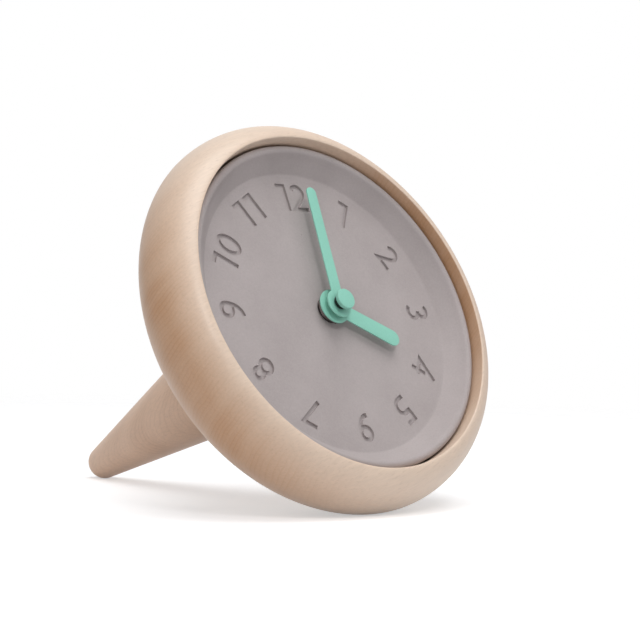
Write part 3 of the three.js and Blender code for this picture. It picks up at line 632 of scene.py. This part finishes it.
# %% Bowl sizes
bowl_sides, bowl_segments = 64, 256
flat_share = math.cos(math.pi / bowl_sides)
back_radius, lip_width = 56, 11
lip_handle, front_handle, rear_handle, heel_handle = 0.3, 0.7, 0.42, 0.37
lip_draft, lip_round = 0.4, 0.45
groove_width, shoulder_width, counterbore_radius = 9, 5.6, 17
counterbore_floor, cavity_floor, seat_gap = -21, -18, 0.25
rear_steps, front_steps, lip_steps = 40, 28, 4
wood_edge = 0.5

lip_inner = bowl_radius - lip_width
bore_radius = lip_inner - lip_draft
groove_inner = bore_radius - groove_width
cavity_radius = groove_inner - shoulder_width
shoulder_top = dial_back - seat_gap
groove_floor = measured("magnet_1")[2] - seat_gap
print(f"lip {lip_width} mm wide round an opening {2 * lip_inner:.1f} mm across")

# %% Bowl
bowl_profile = [
    (tenon_hole_radius, counterbore_floor),
    (tenon_hole_radius, bowl_bottom),
    (back_radius, bowl_bottom),
    *curve_between(
        (back_radius, bowl_bottom),
        (back_radius + heel_handle * (bowl_radius - back_radius), bowl_bottom),
        (bowl_radius, rear_handle * bowl_bottom),
        (bowl_radius, 0),
        rear_steps,
    ),
    *curve_between(
        (bowl_radius, 0),
        (bowl_radius, front_handle * lip_top),
        (lip_inner + lip_handle * (bowl_radius - lip_inner), lip_top),
        (lip_inner + lip_round, lip_top),
        front_steps,
    ),
    *rounded_corner(
        (lip_inner + lip_round, lip_top),
        (lip_inner, lip_top),
        (lip_inner, lip_top - lip_round),
        lip_steps,
        handle_shares=(0.4, 0.6),
    ),
    (bore_radius, rim_top),
    (bore_radius, groove_floor),
    (groove_inner, groove_floor),
    (groove_inner, shoulder_top),
    (cavity_radius, shoulder_top),
    (cavity_radius, cavity_floor),
    (counterbore_radius, cavity_floor),
    (counterbore_radius, counterbore_floor),
]
bm = turned(bowl_profile, bowl_segments, radius_share=flat_share)
soften(bm, wood_edge)
finish_piece(bm, "turned_bowl", "stand", bowl_beech, "bowl")

# %% [markdown]
# ## Leg
# The leg is a slim cone with a round tip. It is turned too, and its root is drawn flat against the bowl's
# back by a bolt. A cone with a sphere at its end would leave a seam, so the profile runs from the tip's arc
# straight into the cone, then round the tenon, and down the bore for the insert.

# %% Leg
leg_sides, leg_segments, tip_steps = 40, 160, 14
tip_radius, tenon_radius = 7.2, 11
leg_root = bowl_bottom - seat_gap
insert_radius = measured("leg_insert")[0] + seat_gap
insert_bottom = measured("leg_insert")[2] - seat_gap

# The arc of the tip ends where it meets the cone's side without a corner.
tip_centre = leg_bottom + tip_radius
tip_start = -math.pi / 2
tip_end = math.atan2(leg_root - tip_centre, leg_radius) - math.acos(
    tip_radius / math.hypot(leg_radius, leg_root - tip_centre)
)
tip_angles = [tip_start + (tip_end - tip_start) * step / tip_steps for step in range(1, tip_steps + 1)]
leg_profile = [
    (0, insert_bottom),
    (0, leg_bottom),
    *[(tip_radius * math.cos(a), tip_centre + tip_radius * math.sin(a)) for a in tip_angles],
    (leg_radius, leg_root),
    (tenon_radius, leg_root),
    (tenon_radius, leg_top),
    (insert_radius, leg_top),
    (insert_radius, insert_bottom),
]
bm = turned(leg_profile, leg_segments, radius_share=math.cos(math.pi / leg_sides))
soften(bm, wood_edge)
finish_piece(bm, "turned_leg", "stand", leg_beech, "leg")

# %% [markdown]
# ## Cast concrete
# The dial is a fine concrete with a little pink in its grey, cast in a smooth mould. It has cloudy tones, a
# fine sandy grain and a few pinholes where air was trapped against the mould. It is quite matt. Real grains
# of sand would cost millions of faces, so a bump gives the grain, and only the light feels it.

# %% Concrete
cloud_width, sand_width, hole_distance = 22, 0.7, 14

concrete, tree, shader = new_material("cast_concrete", Roughness=0.86, Specular_IOR_Level=0.3)
place = in_millimetres(tree)
clouds = add_node(
    tree, "TexNoise", {"Vector": place, "Scale": 1 / cloud_width, "Detail": 4, "Roughness": 0.55}
)
cloud_tone = set_ramp(
    add_node(tree, "ValToRGB", {"Fac": clouds.outputs["Fac"]}), (0.32, "aea5a4"), (0.68, "b6adac")
)
grain = add_node(
    tree, "TexNoise", {"Vector": place, "Scale": 1 / sand_width, "Detail": 4, "Roughness": 0.7}
)
grain_tone = set_ramp(add_node(tree, "ValToRGB", {"Fac": grain.outputs["Fac"]}), (0.3, 0.9), (0.7, 1.0))
sandy = add_node(
    tree,
    "Mix",
    {"Factor": 1.0, first_colour: cloud_tone.outputs["Color"], second_colour: grain_tone.outputs["Color"]},
    data_type="RGBA",
    blend_type="MULTIPLY",
)
fine = add_node(
    tree, "Bump", {"Height": grain.outputs["Fac"], "Strength": 0.35, "Distance": 0.12 * millimetre}
)

# %% Pinholes
# The holes' points fill the whole block, and only the few that lie at its skin show. Real ones are mostly
# finer, and these are drawn about half a millimetre wide, so that they show.
holes = add_node(tree, "TexVoronoi", {"Vector": place, "Scale": 1 / hole_distance}, feature="F1")
hole_share = set_ramp(
    add_node(tree, "ValToRGB", {"Fac": holes.outputs["Distance"]}), (0.012, 0.7), (0.022, 0.0)
)
# Each pinhole is painted a darker grey, as painted shade: the shade that falls inside a hole.
pits_painted_shade = add_node(
    tree,
    "Mix",
    {
        "Factor": hole_share.outputs["Color"],
        first_colour: sandy.outputs[mixed_colour],
        second_colour: linear("8a8181"),
    },
    data_type="RGBA",
)
tree.links.new(pits_painted_shade.outputs[mixed_colour], shader.inputs["Base Color"])
pits = add_node(
    tree,
    "Bump",
    {
        "Height": hole_share.outputs["Color"],
        "Strength": 0.6,
        "Distance": 0.3 * millimetre,
        "Normal": fine.outputs[0],
    },
    invert=True,
)
tree.links.new(pits.outputs[0], shader.inputs["Normal"])
print(concrete.name, "has", len(tree.nodes), "nodes")

# %% [markdown]
# ## Dial
# The dish has a flat face, a slope up to the rim, and a thin rim that fits the bowl's opening. A straight
# cone would do for the slope, but the cast one is a shallow cove with a soft brow, and a small fillet eases
# its foot, as in a mould. The whole dish is one spin.

# %% Dial sizes
dial_face, rim_width, cone_width, heel_chamfer = 6, 2.9, 6.2, 1.3
rim_edge, brow_drop, rim_ease, fillet = 1.8, 0.4, 1.0, 0.55
edge_steps, cove_steps, dial_segments = 6, 8, 240
ease_share, brow_share = 0.45, 0.9
cove_angles = 60, 45
rim_inner = dial_radius - rim_width
face_radius = rim_inner - cone_width

# The cove runs down from the brow to the fillet, steeper at its top than at its foot.
slope = Vector((cone_width, rim_top - brow_drop - dial_face)).normalized()
steep, shallow = (Vector((-math.cos(math.radians(a)), -math.sin(math.radians(a)))) for a in cove_angles)
cove_top = Vector((rim_inner, rim_top - brow_drop)) - rim_ease * slope
cove_foot = Vector((face_radius, dial_face)) + fillet * slope
cove_handle = (cove_top - cove_foot).length / 3
print(f"flat face {2 * face_radius:.1f} mm across, {rim_top - dial_face:.1f} mm under the rim")

# %% Dial dish
dial_profile = [
    (dial_hole_radius, dial_back),
    (dial_radius - heel_chamfer, dial_back),
    (dial_radius, dial_back + heel_chamfer),
    (dial_radius, rim_top - rim_edge),
    *rounded_corner(
        (dial_radius, rim_top - rim_edge),
        (dial_radius, rim_top),
        (dial_radius - rim_edge, rim_top),
        edge_steps,
    ),
    (rim_inner + rim_ease, rim_top),
    *curve_between(
        (rim_inner + rim_ease, rim_top),
        (rim_inner + ease_share * rim_ease, rim_top),
        cove_top - brow_share * rim_ease * steep,
        cove_top,
        edge_steps,
    ),
    *curve_between(
        cove_top, cove_top + cove_handle * steep, cove_foot - cove_handle * shallow, cove_foot, cove_steps
    ),
    *rounded_corner(cove_foot, (face_radius, dial_face), (face_radius - fillet, dial_face), edge_steps),
    (dial_hole_radius, dial_face),
]
bm = turned(dial_profile, dial_segments, radius_share=flat_share)

# %% [markdown]
# The face round each hour is joined to one flat polygon. With the spin's many narrow faces left in, the
# numerals' cuts would leave slivers that catch the light.

# %% Flat face
hours = 12
level_normal, level_tolerance = 0.999, 0.001
wedges = {}
for face in bm.faces:
    centre = face.calc_center_median()
    if face.normal.z > level_normal and abs(centre.z - dial_face) < level_tolerance:
        nearest_hour = round(math.atan2(centre.y, centre.x) * hours / (2 * math.pi)) % hours
        wedges.setdefault(nearest_hour, []).append(face)
for wedge in wedges.values():
    bmesh.ops.dissolve_faces(bm, faces=wedge, use_verts=False)
dial = finish_piece(bm, "cast_dial", "dial_unit", concrete, "dial", smooth_below=30)

# %% [markdown]
# ## Numerals
# The hours are sunk into the concrete by raised figures in the mould. A font would give its own shapes, so
# each figure is drawn as the path of a pen with flat ends: straight lines and arcs. The path gets a wall, the
# wall gets the pen's width, and a boolean takes it out of the dial. The figures stand with their tops outward
# all round.

# %% Pen paths
figure_height, pen_width, sunk_by, hour_radius = 11.7, 1.8, 1.0, 48.4
arc_step = 7.5
all_round = 360 - arc_step


def arc(centre, radii, start, end):
    """Points of an elliptical arc between two angles in degrees."""
    steps = max(4, round(abs(end - start) / arc_step))
    angles = [math.radians(start + (end - start) * step / steps) for step in range(steps + 1)]
    return [(centre[0] + radii[0] * math.cos(a), centre[1] + radii[1] * math.sin(a)) for a in angles]


# Shares of the figure's height, from the figure's middle. The second value says whether the path closes.
figures = {
    "0": [(arc((0, 0), (0.256, 0.423), 0, all_round), True)],
    "1": [([(-0.30, 0.423), (0.05, 0.423), (0.05, -0.5)], False)],
    "2": [([*arc((0, 0.19), (0.235, 0.235), 160, -38), (-0.25, -0.423), (0.33, -0.423)], False)],
    "3": [
        (arc((-0.02, 0.215), (0.215, 0.208), 140, -90), False),
        (arc((-0.02, -0.2), (0.245, 0.223), 90, -140), False),
    ],
    "4": [([(0.29, 0.5), (-0.25, -0.215), (0.36, -0.215)], False), ([(0.2, 0.1), (0.2, -0.5)], False)],
    "5": [
        (
            [
                (0.27, 0.423),
                (-0.163, 0.423),
                (-0.163, 0.08),
                *arc((0.02, -0.17), (0.24, 0.253), 112, -90),
                (-0.28, -0.42),
            ],
            False,
        )
    ],
    "7": [([(-0.27, 0.423), (0.27, 0.423), (-0.15, -0.5)], False)],
    "8": [
        (arc((0, 0.235), (0.175, 0.188), 0, all_round), True),
        (arc((0, -0.19), (0.23, 0.233), 0, all_round), True),
    ],
    "9": [
        (arc((-0.02, 0.2), (0.225, 0.223), 0, all_round), True),
        (arc((-0.24, 0.2), (0.445, 0.623), 0, -90), False),
    ],
}

# Each hour's figures, and how far each stands aside. At the foot of the dial a 9 with its top outward reads
# as a 6.
hour_figures = {hour: [(str(hour), 0)] for hour in range(1, 10)}
hour_figures[6] = [("9", 0)]
hour_figures[10] = [("1", -0.445), ("0", 0.23)]
hour_figures[11] = [("1", -0.35), ("1", 0.285)]
hour_figures[12] = [("1", -0.395), ("2", 0.205)]
print(len(figures), "figures drawn for", len(hour_figures), "hours")


# %% Sink the numerals
def pen_walls():
    """All pen strokes as walls through the dial's face."""
    bm = bmesh.new()
    for hour, glyphs in hour_figures.items():
        turn = Matrix.Rotation(-math.radians(360 / hours * hour), 3, "Z")
        for digit, aside in glyphs:
            for path, closed in figures[digit]:
                flat = [((x + aside) * figure_height, hour_radius + y * figure_height) for x, y in path]
                _, edges = chain(bm, [turn @ Vector((x, y, dial_face - sunk_by)) for x, y in flat], closed)
                wall = bmesh.ops.extrude_edge_only(bm, edges=edges)["geom"]
                tops = [v for v in wall if isinstance(v, bmesh.types.BMVert)]
                bmesh.ops.translate(bm, verts=tops, vec=(0, 0, 2 * sunk_by))
    return bm


strokes = placed(pen_walls(), "pen_strokes")
pen = strokes.modifiers.new("pen_width", "SOLIDIFY")
pen.thickness, pen.offset, pen.use_even_offset = pen_width * millimetre, 0, True
shape_with(dial, strokes, "DIFFERENCE", crossing=True)

# %% [markdown]
# ## Fine finishes
# Paint, plastic and metal are all one colour from afar, and up close each has a texture of its own: the
# orange peel of a powder coat, the spark marks of a mould, the marks of a tool. A flat colour would look like
# a drawing, so one function gives each of them two near tones and a slight relief of the same marks.


# %% Fine marks
def add_marks(tree, shader, darker, lighter, width, strength, depth, detail, stretch=(1, 1, 1)):
    """Gives a finish two tones and a relief by fine marks of a width and a depth in millimetres."""
    marks = add_node(
        tree,
        "TexNoise",
        {"Vector": in_millimetres(tree, stretch=stretch), "Scale": 1 / width, "Detail": detail},
    )
    tone = set_ramp(add_node(tree, "ValToRGB", {"Fac": marks.outputs["Fac"]}), (0.3, darker), (0.7, lighter))
    tree.links.new(tone.outputs["Color"], shader.inputs["Base Color"])
    relief = add_node(
        tree, "Bump", {"Height": marks.outputs["Fac"], "Strength": strength, "Distance": depth * millimetre}
    )
    tree.links.new(relief.outputs[0], shader.inputs["Normal"])


# %% Mint powder coat
# A matt powder coat on steel: it hides the metal, and has a very faint orange peel.
mint, tree, shader = new_material("mint_powder_coat", Roughness=0.5, Specular_IOR_Level=0.4)
add_marks(tree, shader, "88c7b4", "8ccbb8", width=0.8, strength=0.2, depth=0.05, detail=3)


# %% Metals
def metal(name, lighter, darker, roughness, width=0.5):
    """A bare or plated metal with fine tool marks along one direction."""
    material, tree, shader = new_material(name, Metallic=1.0, Roughness=roughness)
    add_marks(
        tree, shader, darker, lighter, width=width, strength=0.3, depth=0.01, detail=3, stretch=(6, 1, 1)
    )
    return material


# Chemically blackened steel stays a dark, warm grey that still shines.
blackened = metal("blackened_steel", "4c4646", "383333", 0.28)
# Nickel that has dulled on the nut, and fresh nickel on the magnets.
nut_plating = metal("nickel_plated_nut", "a39a98", "8f8684", 0.22)
nickel = metal("nickel_plated_magnet", "cfcdc8", "bdbab3", 0.2)
# Zinc plating is a cool, slightly matt grey, and machined brass a pale gold.
zinc = metal("zinc_plated_steel", "c2c5c9", "a9adb2", 0.34)
yellow_brass = metal("machined_brass", "d6b56a", "bf9c52", 0.3)
# The clear enamel on copper wire makes it a deep orange brown. The marks stand for its fine turns.
copper = metal("enamelled_copper", "b86f3f", "9c5630", 0.35, width=0.3)


# %% Plastics, rubber and laminate
def moulded(name, lighter, darker, roughness, width=0.4, depth=0.02):
    """A moulded plastic or rubber with the fine texture of its mould."""
    material, tree, shader = new_material(name, Roughness=roughness)
    add_marks(tree, shader, darker, lighter, width=width, strength=0.4, depth=depth, detail=2)
    return material


# ABS cases are a satin black, and acetal wheels a waxy off-white.
black_abs = moulded("moulded_black_abs", "26272a", "1d1e20", 0.5)
acetal = moulded("moulded_acetal", "eae7df", "e0dcd2", 0.38)
# Rubber cut from sheet is a dull dark grey with a coarser grain.
rubber = moulded("cut_rubber", "2b2b2b", "222222", 0.8, width=0.8, depth=0.05)
# The board's green lacquer shows the weave of its glass cloth, and the battery wears a shrunk glossy sleeve.
laminate = moulded("green_laminate", "2f6d46", "275c3b", 0.35, width=1.2)
sleeve = moulded("battery_sleeve", "3f5f7c", "385670", 0.3, width=3, depth=0.01)
print(len(bpy.data.materials), "materials in the scene")

# %% [markdown]
# ## Hands
# The hands are cut from thin steel sheet and coated mint, which leaves their edges slightly rounded. Each is
# a round hub with a nearly straight bar and a round tip. They could be joined from a disc and a box, but one
# outline, filled and extruded, has no seams: two arcs by spin, two straight sides, and the hole.

# %% Hands
hub_steps, tip_arc_steps, hole_sides = 60, 20, 40
coated_edge = 0.12


def clock_hand(name, body, node, hub_radius, root_width, tip_width, length, bearing):
    """A flat hand: a hub with a hole and a tapered bar, turned to its bearing in degrees from 12 o'clock."""
    _, hole_radius, bottom, top = measured(node)
    bm = bmesh.new()
    opening = math.asin(root_width / 2 / hub_radius)
    start = bm.verts.new((hub_radius * math.sin(opening), hub_radius * math.cos(opening), 0))
    hub_angle = 2 * math.pi - 2 * opening
    hub = bmesh.ops.spin(bm, geom=[start], cent=(0, 0, 0), axis=(0, 0, -1), angle=hub_angle, steps=hub_steps)
    tip_middle = length - tip_width / 2
    tip_left = bm.verts.new((-tip_width / 2, tip_middle, 0))
    tip = bmesh.ops.spin(
        bm, geom=[tip_left], cent=(0, tip_middle, 0), axis=(0, 0, -1), angle=math.pi, steps=tip_arc_steps
    )
    bm.edges.new((hub["geom_last"][0], tip_left))
    bm.edges.new((tip["geom_last"][0], start))
    bmesh.ops.create_circle(bm, segments=hole_sides, radius=hole_radius)
    bmesh.ops.triangle_fill(bm, use_beauty=True, edges=bm.edges[:], normal=(0, 0, 1))
    sheet = bmesh.ops.extrude_face_region(bm, geom=bm.faces[:])["geom"]
    raised = [v for v in sheet if isinstance(v, bmesh.types.BMVert)]
    bmesh.ops.translate(bm, verts=raised, vec=(0, 0, top - bottom))
    bmesh.ops.translate(bm, verts=bm.verts, vec=(0, 0, bottom))
    bmesh.ops.recalc_face_normals(bm, faces=bm.faces)
    soften(bm, coated_edge, sharper_than=50)
    turn = Matrix.Rotation(-math.radians(bearing), 3, "Z")
    bmesh.ops.rotate(bm, verts=bm.verts, cent=(0, 0, 0), matrix=turn)
    return finish_piece(bm, name, body, mint, node)


clock_hand(
    "coated_minute_hand",
    "minute_work",
    "minute_hand",
    hub_radius=5.75,
    root_width=5,
    tip_width=4.7,
    length=49.8,
    bearing=4,
)
clock_hand(
    "coated_hour_hand",
    "hour_work",
    "hour_hand",
    hub_radius=7,
    root_width=6.2,
    tip_width=6.7,
    length=32.2,
    bearing=117,
)

# %% [markdown]
# ## Cap, collar and washer
# A mint cap hides the end of the arbor. Under it sits a dark collar, and a blackened washer lies between the
# nut and the dial. Cylinders would do, but all three are small turned pieces with slightly broken edges, and
# those edges are what catches the light.

# %% Cap, collar and washer
small_segments, collar_segments = 72, 64
cap_edge, collar_edge = 0.3, 0.2
cap_radius, _, cap_bottom, cap_top = measured("centre_cap")
bm = turned(ring_profile(0, cap_radius, cap_bottom, cap_top), small_segments, closed=False)
soften(bm, cap_edge, segments=3)
finish_piece(bm, "coated_cap", "minute_work", mint, "centre_cap")

collar_radius, collar_hole, collar_bottom, collar_top = measured("minute_collar")
bm = turned(ring_profile(collar_hole, collar_radius, collar_bottom, collar_top), collar_segments)
soften(bm, collar_edge)
finish_piece(bm, "moulded_collar", "minute_work", blackened, "minute_collar")

# The washer ends just past the nut's flats.
nut_corner, nut_hole, nut_bottom, nut_top = measured("hex_nut")
nut_flat, washer_margin = nut_corner * math.cos(math.pi / 6), 0.1
_, washer_hole, washer_bottom, washer_top = measured("dial_washer")
bm = turned(
    ring_profile(washer_hole, nut_flat + washer_margin, washer_bottom, washer_top), small_segments
)
soften(bm, coated_edge)
finish_piece(bm, "blackened_washer", "dial_unit", blackened, "dial_washer")

# %% [markdown]
# ## Nut
# The corners of a nut are turned off at about 30 degrees, which leaves its flats with curved shoulders. A
# bevel would cut them straight. So the nut is made as in the shop: a hexagonal bar, cropped by a turned form
# that also has the hole.

# %% Nut
corner_clearance, corner_angle = 0.05, math.radians(30)
bm = bmesh.new()
bmesh.ops.create_cone(
    bm,
    cap_ends=True,
    segments=6,
    radius1=nut_corner,
    radius2=nut_corner,
    depth=nut_top - nut_bottom,
    matrix=Matrix.Translation((0, 0, (nut_bottom + nut_top) / 2)),
)
nut = finish_piece(bm, "plated_nut", "dial_unit", nut_plating, "hex_nut", smooth_below=20)

shoulder = (nut_corner - nut_flat) * math.tan(corner_angle)
turning_profile = [
    (nut_hole, nut_bottom),
    (nut_flat, nut_bottom),
    (nut_corner + corner_clearance, nut_bottom + shoulder),
    (nut_corner + corner_clearance, nut_top - shoulder),
    (nut_flat, nut_top),
    (nut_hole, nut_top),
]
turning = placed(turned(turning_profile, small_segments), "nut_turning")
shape_with(nut, turning, "INTERSECT")

# %% [markdown]
# ## Parts behind the dial
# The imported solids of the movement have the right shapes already. They could be rebuilt finely, but the case
# hides them, so they keep their meshes and get the finish of their real material: moulded ABS and acetal,
# plated steel, brass, copper wire and green laminate.

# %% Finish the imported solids
finishes = {
    "beech": bowl_beech,
    "concrete": concrete,
    "mint_paint": mint,
    "steel": zinc,
    "dark_steel": blackened,
    "brass": yellow_brass,
    "magnet": nickel,
    "black_plastic": black_abs,
    "white_plastic": acetal,
    "rubber": rubber,
    "copper": copper,
    "board": laminate,
    "battery": sleeve,
}
kept_nodes = {
    part["node"]: part["material_slot"]
    for part in frame["record"]["subparts"]
    if part["node"] not in replaced_nodes
}
for node, slot in kept_nodes.items():
    mesh = frame["nodes"][node].data
    mesh.materials.clear()
    mesh.materials.append(finishes[slot])
print(len(kept_nodes), "packed solids given a finish")
